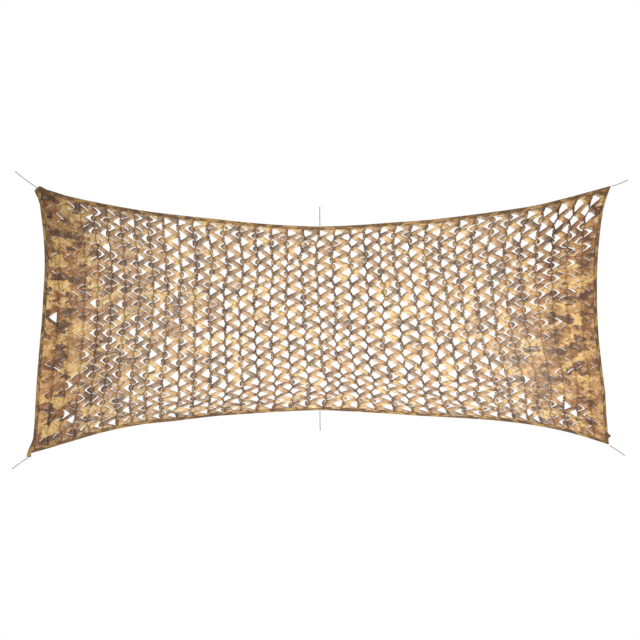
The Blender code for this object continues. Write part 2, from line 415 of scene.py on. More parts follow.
# %% Openness over the net
OPENNESS_HEIGHTS = 5
MOST_OPEN = 1.2
OPENNESS = table(
    # share of the length, then how far open at five even heights, from the top down
    (0.00, 0.00, 0.00, 0.00, 0.00, 0.00),
    (0.05, 0.16, 0.00, 0.00, 0.10, 0.34),
    (0.07, 0.34, 0.24, 0.28, 0.30, 0.46),
    (0.09, 0.44, 0.44, 0.48, 0.46, 0.52),
    (0.14, 0.52, 0.48, 0.50, 0.52, 0.62),
    (0.20, 0.60, 0.56, 0.56, 0.62, 0.68),
    (0.28, 0.68, 0.68, 0.70, 0.74, 0.76),
    (0.36, 0.74, 0.76, 0.80, 0.82, 0.82),
    (0.50, 0.78, 0.82, 0.88, 0.88, 0.86),
    (0.63, 0.78, 0.80, 0.88, 0.90, 0.88),
    (0.73, 0.72, 0.74, 0.77, 0.82, 0.86),
    (0.80, 0.68, 0.70, 0.68, 0.64, 0.84),
    (0.86, 0.62, 0.64, 0.52, 0.36, 0.68),
    (0.91, 0.78, 0.66, 0.20, 0.14, 0.52),
    (0.95, 1.20, 0.34, 0.00, 0.06, 0.48),
    (0.98, 1.20, 0.14, 0.00, 0.04, 0.38),
    (1.00, 1.00, 0.00, 0.00, 0.00, 0.10),
)

# %% [markdown]
# Hand-cut and hand-stretched cloth is uneven, so positions and openness wander a little. The
# wander comes from a small grid of seeded random numbers with smooth ramps between them, which
# gives the same net every run.

# %% Uneven cloth
NOISE_SIZE = 64


def cloth_noise(x, y, seed):
    """Smooth random values from -1 to 1 that change over about one unit."""
    grid = np.random.default_rng(seed).uniform(-1.0, 1.0, (NOISE_SIZE, NOISE_SIZE))
    x = np.asarray(x, float) + NOISE_SIZE
    y = np.asarray(y, float) + NOISE_SIZE
    col = np.floor(x).astype(int)
    row = np.floor(y).astype(int)
    fx = smooth_step(x - col)
    fy = smooth_step(y - row)
    here, below = (grid[(row + i) % NOISE_SIZE, col % NOISE_SIZE] for i in (0, 1))
    beside, beyond = (grid[(row + i) % NOISE_SIZE, (col + 1) % NOISE_SIZE] for i in (0, 1))
    return (here * (1 - fx) + beside * fx) * (1 - fy) + (below * (1 - fx) + beyond * fx) * fy


column_weights = smooth_value(COLUMN_PITCH, 1, (np.arange(COLUMNS) + 0.5) / COLUMNS)
column_edges = np.concatenate([[0.0], np.cumsum(column_weights)]) / column_weights.sum()


def open_field(line, row):
    """How far the slits stand open at lattice places, from 0 (shut) to about 1."""
    along = np.interp(line, np.arange(COLUMNS + 1), column_edges)
    down = np.asarray(row, float) / ROWS
    at_heights = [smooth_value(OPENNESS, i + 1, along) for i in range(OPENNESS_HEIGHTS)]
    gaps = OPENNESS_HEIGHTS - 1
    low = np.clip((down * gaps).astype(int), 0, gaps - 1)
    part = down * gaps - low
    stack = np.stack(at_heights, axis=-1)
    upper = np.take_along_axis(stack, low[..., None], axis=-1)[..., 0]
    lower = np.take_along_axis(stack, low[..., None] + 1, axis=-1)[..., 0]
    return np.clip(upper * (1.0 - part) + lower * part, 0.0, MOST_OPEN)

# %% [markdown]
# ### Where a place on the cloth ends up
# One function carries any place on the lattice of lines and rows to its place in the air. Every
# other piece uses it, so arms, strips and tongues always meet. Open cloth wanders sideways and
# waves in and out with each slit, and cloth that stays slack at the ends crumples instead.

# %% Lattice places
WIGGLE = 0.10
WAVE_DEPTH = 0.007
DRIFT = 0.17
DRIFT_LEAST = 0.2
JITTER = 0.10
WANDERS = (
    # seed of the drift, seed of the jitter, columns and rows a drift spans, rates of the jitter
    (11, 13, 3.7, 3.1, 0.9, 1.1),
    (12, 14, 4.3, 2.9, 0.8, 1.3),
)
HELD_COLUMNS = 1.5
HELD_ROWS = 1.0
LOOSE_FOOT = 0.9
LOOSE_FROM = 0.72
LOOSE_OVER = 0.12
CRUMPLE_DEPTH = 0.0095
CRUMPLE_OPEN = 0.50
CRUMPLES = (
    # seed, share, change per column and per row across the small folds, and along them
    (15, 1.0, 0.9, 0.35, -0.1, 0.40),
    (16, 0.5, 1.9, -0.5, 0.0, 0.90),
)


def lattice_place(line, row):
    """World points of the cloth's middle at lattice places."""
    is_open = open_field(line, row)
    wander = []
    for drift_seed, jitter_seed, columns, rows, line_rate, row_rate in WANDERS:
        drift = DRIFT * cloth_noise(line / columns, row / rows, drift_seed)
        jitter = JITTER * cloth_noise(line * line_rate, row * row_rate, jitter_seed)
        drift = drift * np.minimum(1.0, is_open + DRIFT_LEAST)
        wander.append(drift + jitter * np.minimum(1.0, is_open))
    inner = smooth_step(line / HELD_COLUMNS) * smooth_step((COLUMNS - line) / HELD_COLUMNS)
    inner = inner * smooth_step(row / HELD_ROWS) * smooth_step((ROWS - row) / HELD_ROWS)
    loose = 1.0 + LOOSE_FOOT * smooth_step((row / ROWS - LOOSE_FROM) / LOOSE_OVER)
    wiggle = WIGGLE * is_open * np.cos(2.0 * math.pi * row)
    at_line = line + (wiggle + wander[0] * loose) * inner
    even = (row + wander[1] * loose * inner) / ROWS
    along = np.interp(at_line, np.arange(COLUMNS + 1), column_edges)
    crowded = smooth_value(ROW_SPACING, 1, even)
    down = even + (crowded - even) * smooth_value(CROWDING, 1, along)
    along = along + smooth_value(LEAN, 1, along) * (down - 0.5)
    points = net_point(along, down, PANEL_INSET)
    wave = -WAVE_DEPTH * is_open * np.cos(2.0 * math.pi * row)
    points[..., 1] += (wave + crumple_depth(line, row, is_open)) * inner
    return points


def crumple_depth(line, row, is_open):
    """Small folds of slack cloth: slanting ones, with finer ones across them."""
    slack = np.clip(1.0 - is_open / CRUMPLE_OPEN, 0.0, 1.0)
    depth = sum(
        share * cloth_noise(line * a + row * b, line * c + row * d, seed)
        for seed, share, a, b, c, d in CRUMPLES
    )
    return CRUMPLE_DEPTH * depth * slack

# %% [markdown]
# ### How far each slit is open
# Each slit takes the smooth field's value with a random share of its own. A few are odd: some in
# the open part catch on themselves and stay nearly shut, and in the slack ends some gape and a
# rare one is pulled right open.

# %% Openness of each slit
RIGHT_SLIT_AT = 0.35
UNEVEN_OPENING = 0.13
UNEVEN_LEAST = 0.15
UNEVEN_RISE = 2.5
BARELY_OPEN = 0.02
CAUGHT_LUCK = 0.04
CAUGHT_SHARE = 0.45
PULLED_LUCK = 0.985
PULLED_OPENNESS = 0.75
SLACK_FIELD = 0.3
GAPING_LUCK = (0.10, 0.26)
GAPING_FIELD = (0.015, 0.35)
GAPING_LEAST = 0.12
GAPING_RISE = 2.9
WIDEST = 1.15

rng = np.random.default_rng(258)
column_index = np.arange(COLUMNS)
right_rows = np.arange(int(ROWS)) + 0.5
left_rows = np.arange(int(ROWS) + 1) * 1.0


def slit_openness(line, rows):
    """Openness of a column of slits, a value for each line and row."""
    field = open_field(line[:, None] + 0 * rows[None, :], rows[None, :] + 0 * line[:, None])
    spread = np.minimum(1.0, field * UNEVEN_RISE + UNEVEN_LEAST)
    uneven = rng.normal(0.0, UNEVEN_OPENING, field.shape) * spread
    luck = rng.random(field.shape)
    caught = (luck < CAUGHT_LUCK) & (field > SLACK_FIELD)
    pulled = (luck > PULLED_LUCK) & (field < SLACK_FIELD) & (field > BARELY_OPEN)
    gaping = (luck > GAPING_LUCK[0]) & (luck < GAPING_LUCK[1])
    gaping = gaping & (field < GAPING_FIELD[1]) & (field > GAPING_FIELD[0])
    value = field + uneven
    value = np.where(caught, value * CAUGHT_SHARE, value)
    value = np.where(pulled, PULLED_OPENNESS, value)
    value = np.where(gaping, GAPING_LEAST + GAPING_RISE * (luck - GAPING_LUCK[0]), value)
    return np.clip(value, 0.0, WIDEST)


open_right = slit_openness(column_index + RIGHT_SLIT_AT, right_rows)
open_left = slit_openness(column_index + 1.0 - RIGHT_SLIT_AT, left_rows)

# %% [markdown]
# The hems and corners have their own rules. A slit that would cut into a casing stays shut, the
# first whole row is pulled open by the top casing, the last row is held, and the free corner at
# the top right is stretched widest. The twelve openings that the frame states are the widest of
# all.

# %% Hems, corners and stated openings
FIRST_ROW_MOST = 1.1
CORNER_COLUMNS = 4
CORNER_OPENNESS = (1.0, 1.1)
LAST_ROW_SHARE = 0.6
COUNTED_OPEN = 0.3
HOLE_MIDDLE = 0.22

open_right[0, :] = 0.0
open_left[-1, :] = 0.0
open_left[:, 0] = 0.0
open_right[:, 0] = np.minimum(WIDEST * open_right[:, 0], FIRST_ROW_MOST)
open_right[-CORNER_COLUMNS:, 0] = CORNER_OPENNESS[0]
open_left[-CORNER_COLUMNS:-1, 1] = CORNER_OPENNESS[1]
open_right[:, -1] *= LAST_ROW_SHARE
open_count = sum(int((value > COUNTED_OPEN).sum()) for value in (open_right, open_left))
print("open slits:", open_count)


def hole_centres(line_offset, rows):
    """World centres of a set of openings."""
    lines = column_index[:, None] + line_offset + 0.0 * rows[None, :]
    return lattice_place(lines, rows[None, :] + 0.0 * lines)


sets = (
    (open_right, hole_centres(STRIP_HALF + HOLE_MIDDLE, right_rows)),
    (open_left, hole_centres(1.0 - STRIP_HALF - HOLE_MIDDLE, left_rows)),
)
for stated in frame["record"]["physics"]["openings"]:
    low, high = (np.array(corner) for corner in stated["box_m"])
    away = [np.hypot(*(c - (low + high) / 2.0)[..., [0, 2]].transpose(2, 0, 1)) for _, c in sets]
    side = 0 if away[0].min() < away[1].min() else 1
    nearest = np.unravel_index(away[side].argmin(), away[side].shape)
    sets[side][0][nearest] = WIDEST

# %% [markdown]
# ### Strands and strips
# Each column of cloth between two lines is a zigzag of short arms, and each arm is a small grid
# of quads whose upper and lower edges follow the openings. Cut edges of a stretched cloth curl
# away, so both edges of an arm roll to the back. The lines themselves are narrow strips that the
# tongues pull into a shallow groove. The pieces share edge points, so they are joined into one
# sheet afterwards.

# %% Net web sizes
ARM_STEPS = np.array((0.0, 0.19, 0.38, 0.62, 0.81, 1.0))
ARM_SHARES = np.array((0.0, 0.10, 0.34, 0.68, 1.0))
ARM_ROLL = np.array((0.0150, 0.0105, 0.0022, 0.0000, 0.0012))
ARM_ENDS_POWER = 0.7
ARM_TILT = 0.0026
ARM_TILT_SPREAD = 1.6 * ARM_TILT
LOWER_ROLL = 0.22
FREE_RAMP = 0.3
GATHER_REACH = 0.16
EDGE_POWER = 0.82
GROOVE_DEPTH = 0.0110
# Painted shade across an arm, strongest on its upper edge.
PAINTED_SHADE_ACROSS = np.array((0.85, 0.55, 0.06, 0.0, 0.0))
# Painted light across an arm, rising to its lower edge.
PAINTED_LIGHT_ACROSS = np.array((0.0, 0.0, 0.04, 0.50, 1.0))
MARK_SLACK = 0.45
# Painted shade at the bunched top left corner: its reach, depth, mean, spread and patchiness.
CORNER_SHADE_REACH = 6.2
CORNER_SHADE_DEPTH = 0.95
CORNER_SHADE_MEAN = 0.7
CORNER_SHADE_SPREAD = 0.5
CORNER_SHADE_RATES = (2.1, 1.7)


def slit_half(openness):
    """Half height of an opening, in rows."""
    share = np.clip(openness, 0.0, 1.0)
    return SLIT_HALF_CLOSED + (SLIT_HALF_OPEN - SLIT_HALF_CLOSED) * share


half_right = slit_half(open_right)
half_left = slit_half(open_left)
half_left[:, 0] = 0.0
half_right[0, :] = 0.0
half_left[-1, :] = 0.0


def slit_edge(reach):
    """Height of an opening's edge against its distance from the line, from 1 to 0."""
    return np.clip(1.0 - reach / SLIT_REACH, 0.0, 1.0) ** EDGE_POWER

# %% [markdown]
# ### Grids of cloth
# Arms and strips are small grids of quads that are gathered up for one mesh. Every grid carries
# two marks in a second UV map: painted shade, on the rolled upper edges and the gathered lines,
# and painted light, on the lower edges. The material darkens and lightens the print by them, and
# the bunched top left corner gets painted shade too.

# %% Gather grids of cloth
def empty_cloth():
    """Somewhere to gather the grids of one cloth object."""
    return {"points": [], "flat": [], "marks": [], "faces": []}


def add_grid(cloth, turned, **values):
    """Add a grid's points, flat places and marks, and its faces, turned round if asked."""
    start = sum(len(block) for block in cloth["points"])
    shape = values["points"].shape[:2]
    index = start + np.arange(shape[0] * shape[1]).reshape(shape)
    corners = (index[:-1, :-1], index[:-1, 1:], index[1:, 1:], index[1:, :-1])
    faces = np.stack(corners[::-1] if turned else corners, axis=-1)
    for kind, grid in dict(values, faces=faces).items():
        cloth[kind].append(grid.reshape(-1, grid.shape[-1]))


web_cloth = empty_cloth()


def add_patch(line, row, lift, painted_shade, painted_light):
    """Add a grid to the web, moved to the back by lift, with marks for painted shade and light."""
    points = lattice_place(line, row)
    points[..., 1] += lift
    # Painted shade and light show less where the cloth is slack.
    shown = MARK_SLACK + (1.0 - MARK_SLACK) * np.minimum(open_field(line, row), 1.0)
    # Painted shade that darkens the top left corner, patchy.
    near_corner = smooth_step(1.0 - np.hypot(line, row) / CORNER_SHADE_REACH)
    painted_dark = cloth_noise(line * CORNER_SHADE_RATES[0], row * CORNER_SHADE_RATES[1], seed=17)
    corner_shade = CORNER_SHADE_DEPTH * near_corner * (CORNER_SHADE_MEAN + CORNER_SHADE_SPREAD * painted_dark)
    marks = np.stack([np.maximum(painted_shade * shown, corner_shade), painted_light * shown], axis=-1)
    flat = np.stack([line * FLAT_COLUMN, -row * FLAT_ROW], axis=-1)
    add_grid(web_cloth, turned=True, points=points, flat=flat, marks=marks)

# %% [markdown]
# An arm narrows and widens with the openings above and below it. It rolls most in its middle,
# where nothing holds it, and not at all at the lines, where the tongues gather it instead.

# %% One arm
def add_arm(column, top, bottom, free_top, free_bottom, tilt):
    """One arm of a strand between its upper and lower edges, given in rows along the arm."""
    share = ARM_SHARES[:, None]
    row = top[None, :] * (1.0 - share) + bottom[None, :] * share
    left = column + STRIP_HALF if column > 0 else 0.0
    right = column + 1 - STRIP_HALF if column < COLUMNS - 1 else COLUMNS
    line = (left + (right - left) * ARM_STEPS)[None, :] + 0.0 * row
    ends = np.sin(math.pi * ARM_STEPS)[None, :] ** ARM_ENDS_POWER
    is_open = np.minimum(open_field(line, row), 1.0)
    roll_top = ARM_ROLL[:, None] * free_top[None, :]
    roll_bottom = LOWER_ROLL * ARM_ROLL[::-1, None] * free_bottom[None, :]
    leaning = tilt * (share - 0.5)
    lift = (roll_top + roll_bottom + leaning) * ends * is_open
    from_line = np.minimum(ARM_STEPS, 1.0 - ARM_STEPS)
    near_line = 1.0 - smooth_step(from_line / GATHER_REACH)[None, :]
    # Painted shade on the upper edge and near the lines.
    painted_shade = np.maximum(PAINTED_SHADE_ACROSS[:, None] * free_top[None, :], near_line + 0.0 * share)
    # Painted light on the lower edge, away from the lines.
    painted_light = PAINTED_LIGHT_ACROSS[:, None] * free_bottom[None, :] * (1.0 - near_line)
    add_patch(line, row, lift, painted_shade, painted_light)


def arm_chance():
    """How far one arm leans: its lower edge to the back, or to the front if negative."""
    return rng.normal(-ARM_TILT, ARM_TILT_SPREAD)

# %% [markdown]
# Each column has an arm above and an arm below every opening, in a zigzag. An arm is four quads
# high and five long, which is enough to show the roll of its cut edges.

# %% Every arm
free_left = smooth_step((ARM_STEPS - 1.0 + SLIT_REACH) / FREE_RAMP)
free_right = smooth_step((SLIT_REACH - ARM_STEPS) / FREE_RAMP)
for column in range(COLUMNS):
    for step in range(int(ROWS) + 1):
        whole = step < int(ROWS)
        edge_left = half_left[column, step] * slit_edge(1.0 - ARM_STEPS)
        edge_right = (half_right[column, step] if whole else 0.0) * slit_edge(ARM_STEPS)
        top = step + edge_left
        add_arm(column, top, step + 0.5 - edge_right, free_left, free_right, arm_chance())
        if whole:
            next_left = half_left[column, step + 1] * slit_edge(1.0 - ARM_STEPS)
            top = step + 0.5 + edge_right
            add_arm(column, top, step + 1.0 - next_left, free_right, free_left, arm_chance())

# %% [markdown]
# ### Strips
# A strip has to share every edge point with the arms and openings on both sides, or small gaps
# would show. So its two edges list the same rows as the arms do, in order, and the strip is
# filled between.

# %% Strips along the lines
OPENING_STEPS = 4


def left_strip_rows(halves):
    """Rows down a strip's left edge, where openings sit at whole rows."""
    rows = []
    for step, half in enumerate(halves):
        rows.extend(np.linspace(step, step + half, OPENING_STEPS // 2 + 1)[:-1])
        rows.extend((step + half + (0.5 - half) * ARM_SHARES)[:-1])
        if step < int(ROWS):
            after = halves[step + 1]
            rows.extend((step + 0.5 + (0.5 - after) * ARM_SHARES)[:-1])
            rows.extend(np.linspace(step + 1.0 - after, step + 1.0, OPENING_STEPS // 2 + 1)[:-1])
    return np.array(rows + [ROWS])


def right_strip_rows(halves):
    """Rows down a strip's right edge, where openings sit at half rows."""
    rows = []
    for step, half in enumerate(halves):
        rows.extend((step + (0.5 - half) * ARM_SHARES)[:-1])
        middle = step + 0.5
        rows.extend(np.linspace(middle - half, middle + half, OPENING_STEPS + 1)[:-1])
        rows.extend((middle + half + (0.5 - half) * ARM_SHARES)[:-1])
    last = (len(halves) + 0.5 * ARM_SHARES).tolist()
    # The last stretch is divided further, so that both edges have as many points.
    extra = np.linspace(last[-2], last[-1], OPENING_STEPS // 2 + 2)[1:]
    return np.array(rows + last[:-1] + extra.tolist())


for line in range(1, COLUMNS):
    left_edge = left_strip_rows(half_left[line - 1])
    right_edge = right_strip_rows(half_right[line])
    row = np.stack([left_edge, (left_edge + right_edge) / 2.0, right_edge], axis=1)
    across = line + STRIP_HALF * np.array((-1.0, 0.0, 1.0))[None, :] + 0.0 * row
    groove = GROOVE_DEPTH * np.array((0.0, 1.0, 0.0))[None, :]
    groove = groove * np.minimum(open_field(across, row), 1.0)
    # The strips get full painted shade.
    add_patch(across, row, groove, np.ones_like(row), np.zeros_like(row))

print("grids of cloth in the web:", len(web_cloth["points"]))

# %% [markdown]
# The web is joined at shared points and given the cloth's thickness. The reverse side gets its
# own material slot, a darker copy of the face as painted shade. Cloth that would stand far out of
# the net is eased back to a few centimetres, since stretched strands can't reach on.

# %% Turn grids of cloth into objects
FLAT_MAP = "flat cut in metres"
MARK_MAP = "painted shade and light on edges"
CLOTH_THICKNESS = 0.0010
SAME_POINT = 1e-5
FRONT_START = -0.034
FRONT_REACH = 0.016
BACK_START = 0.044
BACK_REACH = 0.018


def within_depth(y):
    """Ease depths that run past the net's folds back to within the cloth's reach of them."""
    behind = BACK_START + BACK_REACH * np.tanh((y - BACK_START) / BACK_REACH)
    before = FRONT_START - FRONT_REACH * np.tanh((FRONT_START - y) / FRONT_REACH)
    return np.where(y > BACK_START, behind, np.where(y < FRONT_START, before, y))


def write_map(mesh, name, values):
    """Add a UV map from a pair of values for each vertex."""
    layer = mesh.uv_layers.new(name=name)
    corner_points = np.empty(len(mesh.loops), dtype=int)
    mesh.loops.foreach_get("vertex_index", corner_points)
    layer.data.foreach_set("uv", values[corner_points].ravel())


def cloth_object(name, grids, materials):
    """A cloth object of gathered grids, with two maps, joined at shared points and thickened."""
    joined = {kind: np.concatenate(values) for kind, values in grids.items()}
    points = joined["points"]
    points[:, 1] = within_depth(points[:, 1])
    mesh = bpy.data.meshes.new(name)
    mesh.from_pydata(points.tolist(), [], joined["faces"].tolist())
    write_map(mesh, FLAT_MAP, joined["flat"])
    write_map(mesh, MARK_MAP, joined["marks"])
    for material in materials:
        mesh.materials.append(material)
    bm = bmesh.new()
    bm.from_mesh(mesh)
    bmesh.ops.remove_doubles(bm, verts=bm.verts, dist=SAME_POINT)
    bmesh.ops.dissolve_degenerate(bm, edges=bm.edges, dist=SAME_POINT / 10.0)
    bm.to_mesh(mesh)
    bm.free()
    mesh.shade_smooth()
    cloth = add_object(name, mesh)
    solid = cloth.modifiers.new("cloth thickness", "SOLIDIFY")
    solid.thickness = CLOTH_THICKNESS
    solid.offset = 0.0
    solid.material_offset = 1
    solid.material_offset_rim = 0
    solid.use_even_offset = False
    return cloth

# %% [markdown]
# ## Printed cloth
# The cloth is woven polyester oxford, printed with four desert colours in ragged blotches 10 to
# 25 centimetres across. The print is laid on the flat cloth before it is slit, so the pattern is
# looked up in flat-cut metres: it then breaks at each slit just as a real print does. Noise
# thresholds give the blotches, and polyester with a matt coating gives a rough, faintly sheened
# surface: the eye gets soft, wide highlights, a roughness near 0.86 and the default IOR of about
# 1.5.

# %% Printed polyester oxford
SAND = "#E6BC78"
BLOTCHES = (
    # colour, size in metres, shift, then the noise values where its ragged edge starts and ends
    ("#C5955F", 0.135, (3.1, 7.7, 0.0), 0.455, 0.495),
    ("#A2734B", 0.105, (11.3, 2.9, 0.0), 0.500, 0.540),
    ("#745441", 0.090, (23.7, 17.1, 0.0), 0.560, 0.590),
)
PRINT_STRETCH = (0.80, 1.15, 1.0)


def blotch(tree, place, size, shift, low, high):
    """A ragged blotch mask: 1 inside the blotches, 0 outside."""
    moved = add_node(tree, "ShaderNodeVectorMath", {0: place, 1: shift}, operation="ADD")
    noise = add_node(
        tree,
        "ShaderNodeTexNoise",
        {"Vector": moved.outputs[0], "Scale": 1.0 / size, "Detail": 4.0, "Roughness": 0.50},
        noise_dimensions="2D",
    )
    mask = add_node(
        tree,
        "ShaderNodeMapRange",
        {"Value": noise.outputs[0], "From Min": low, "From Max": high},
        interpolation_type="SMOOTHSTEP",
    )
    return mask.outputs[0]

# %% [markdown]
# ### The print with painted light and shade
# Three masks lay tan, rust and dark brown over sand. Towards the middle the print is painted
# paler, a painted glow. The two marks do the rest: lower edges get painted light, and the gathered
# lines and rolled upper edges get painted shade.

# %% Print colour
PALE_SAND = "#F7E6CA"
# A painted glow: the print is drawn paler towards the middle of the net.
GLOW_SHARE = 0.22
GLOW_STARTS = 1.72
FULL_GLOW_AT = 1.00
# Painted light on the lower edges.
PAINTED_LIGHT_SHARE = 0.74
# Painted shade on rolled upper edges and gathered lines, with its tint.
ROLLED_SHADE = 0.35
PAINTED_SHADE_TINT = (1.0, 0.88, 0.74)


def print_colour(tree, shade):
    """The flat-cut coordinates and the print with its painted light and shade, every colour dulled
    by shade.
    """
    flat = add_node(tree, "ShaderNodeUVMap", uv_map=FLAT_MAP)
    place = add_node(
        tree, "ShaderNodeVectorMath", {0: flat.outputs[0], 1: PRINT_STRETCH}, operation="MULTIPLY"
    )
    marks = add_node(tree, "ShaderNodeUVMap", uv_map=MARK_MAP)
    mark = add_node(tree, "ShaderNodeSeparateXYZ", {0: marks.outputs[0]})
    along = add_node(tree, "ShaderNodeSeparateXYZ", {0: flat.outputs[0]})
    middle = COLUMNS * FLAT_COLUMN / 2.0
    from_middle = add_node(
        tree, "ShaderNodeMath", {0: along.outputs[0], 1: middle}, operation="SUBTRACT"
    )
    distance = add_node(tree, "ShaderNodeMath", {0: from_middle.outputs[0]}, operation="ABSOLUTE")
    # Painted glow, paler towards the middle.
    painted_glow = add_node(
        tree,
        "ShaderNodeMapRange",
        {
            "Value": distance.outputs[0],
            "From Min": GLOW_STARTS,
            "From Max": FULL_GLOW_AT,
            "To Max": GLOW_SHARE,
        },
        interpolation_type="SMOOTHSTEP",
    )
    # Painted light on the lower edges.
    lit_lower_edge = add_node(
        tree, "ShaderNodeMath", {0: mark.outputs[1], 1: PAINTED_LIGHT_SHARE}, operation="MULTIPLY"
    )
    # The painted shade colour.
    painted_dark = tuple(tint * ROLLED_SHADE for tint in PAINTED_SHADE_TINT) + (1.0,)
    layers = [
        (blotch(tree, place.outputs[0], *pattern), linear(code), "MIX")
        for code, *pattern in BLOTCHES
    ]
    layers += [
        (painted_glow.outputs[0], linear(PALE_SAND), "MIX"),
        (lit_lower_edge.outputs[0], linear(PALE_SAND), "MIX"),
        (mark.outputs[0], painted_dark, "MULTIPLY"),
        (1.0, (shade, shade, shade, 1.0), "MULTIPLY"),
    ]
    colour = linear(SAND)
    for share, over, way in layers:
        mix = add_node(
            tree,
            "ShaderNodeMix",
            {0: share, 6: colour, 7: over},
            data_type="RGBA",
            blend_type=way,
        )
        colour = mix.outputs[2]
    return flat.outputs[0], colour

# %% [markdown]
# ### The cloth's surface
# Two bumps sit on top of each other. The coarse one is creases a few centimetres long, from the
# net having been folded up, and the fine one is the weave. The reverse is the same cloth, darkened
# all over as painted shade.

# %% Cloth material
WEAVE_SIZE = 0.0022
WEAVE_DEPTH = 0.0004
CREASE_SIZE = 0.042
CREASE_DEPTH = 0.023
CREASE_STRETCH = (1.5, 1.0, 1.0)
# The reverse is drawn darker than the face, as painted shade.
REVERSE_SHADE = 0.62


def new_material(name, roughness):
    """A material of one shader, with its roughness set, and that shader."""
    material = bpy.data.materials.new(name)
    material.use_nodes = True
    shader = material.node_tree.nodes["Principled BSDF"]
    shader.inputs["Roughness"].default_value = roughness
    return material, shader


def oxford_cloth(name, shade):
    """Woven polyester oxford with the print, darkened by shade, a painted shade below 1."""
    material, shader = new_material(name, roughness=0.86)
    tree = material.node_tree
    flat, colour = print_colour(tree, shade)
    tree.links.new(colour, shader.inputs["Base Color"])
    # Real threads lie about 0.4 mm apart, too fine to show, so they are drawn at 2.2 mm.
    weave = add_node(
        tree,
        "ShaderNodeTexVoronoi",
        {"Vector": flat, "Scale": 1.0 / WEAVE_SIZE, "Randomness": 0.15},
        voronoi_dimensions="2D",
    )
    upright = add_node(
        tree, "ShaderNodeVectorMath", {0: flat, 1: CREASE_STRETCH}, operation="MULTIPLY"
    )
    creases = add_node(
        tree,
        "ShaderNodeTexNoise",
        {
            "Vector": upright.outputs[0],
            "Scale": 1.0 / CREASE_SIZE,
            "Detail": 3.0,
            "Distortion": 1.1,
        },
        noise_dimensions="2D",
    )
    crumpled = add_node(
        tree,
        "ShaderNodeBump",
        {"Height": creases.outputs[0], "Strength": 0.9, "Distance": CREASE_DEPTH},
    )
    bump = add_node(
        tree,
        "ShaderNodeBump",
        {
            "Height": weave.outputs[0],
            "Strength": 0.25,
            "Distance": WEAVE_DEPTH,
            "Normal": crumpled.outputs[0],
        },
    )
    tree.links.new(bump.outputs[0], shader.inputs["Normal"])
    shader.inputs["Sheen Weight"].default_value = 0.05
    shader.inputs["IOR"].default_value = 1.5
    return material


cloth_front = oxford_cloth("printed woven polyester oxford, face", 1.0)
# The reverse: the same print, darkened as painted shade.
cloth_back = oxford_cloth("printed woven polyester oxford, reverse", REVERSE_SHADE)

# %% [markdown]
# ### Make the web
# Now that the points, the flat map and the materials exist, the web becomes one object.

# %% Make the web
both_sides = (cloth_front, cloth_back)
web = cloth_object("net_web", web_cloth, both_sides)
print("web faces after joining:", len(web.data.polygons))

# %% [markdown]
# ## Tongues
# Every slit leaves a pointed tongue of cloth hanging from its line. Where the net is slack the
# tongue still fills its opening, and where the net is stretched it folds back and curls. Each
# tongue is a small triangle of cloth bent along its length: its start angle and its curl both
# follow how far the slit is open.

# %% Tongues
TONGUE_LONG = 6
TONGUE_WIDE = 2
ARM_LENGTH = 1.0 - 2.0 * STRIP_HALF
TONGUE_FLAT = SLIT_REACH * ARM_LENGTH * FLAT_COLUMN
SLACK_OPENNESS = 0.30
SLACK_BEHIND = 0.0009
TONGUE_TRIM = 0.035
CUPPING = 0.30
CUPPED_BY = 0.6
ANGLE_AT_LINE = 70.0
ANGLE_POWER = 1.4
CURL_OPEN = 150.0
CURL_POWER = 2.2
MOST_BENT = 1.1
FOLDS_BACK = 0.8
FORWARD_FACE = -0.8
TONGUE_LUCK = (
    # what varies, its mean and its spread
    ("start", 1.0, 0.12),
    ("curl", 1.0, 0.30),
    ("slide", 0.0, 0.028),
    ("droop", -0.004, 0.006),
    ("twist", 0.0, 0.012),
)

# %% [markdown]
# A tongue's middle line is a chain of short steps, each turned a little further than the last.
# Its first angle is at the line that it hangs from, and the rest is the curl. The tongue's
# outline is then laid across that chain, and eased into its flat shape where the slit is nearly
# shut.

# %% Bend one tongue
tongue_cloth = empty_cloth()


def bent_spine(middle, out, openness, chance):
    """Points along the middle of a tongue that folds back at its line and curls."""
    start = math.radians(ANGLE_AT_LINE) * openness**ANGLE_POWER * chance["start"]
    curl = math.radians(CURL_OPEN) * openness**CURL_POWER * chance["curl"]
    middle_share = (np.arange(TONGUE_LONG) + 0.5) / TONGUE_LONG
    angle = start + curl * middle_share
    step = TONGUE_FLAT / TONGUE_LONG
    forward = np.concatenate([[0.0], np.cumsum(np.cos(angle) * step)])
    deep = np.concatenate([[0.0], np.cumsum(np.sin(angle) * step)]) * chance["face"]
    spine = middle[None, :] + forward[:, None] * out
    spine[:, 1] += deep
    return spine


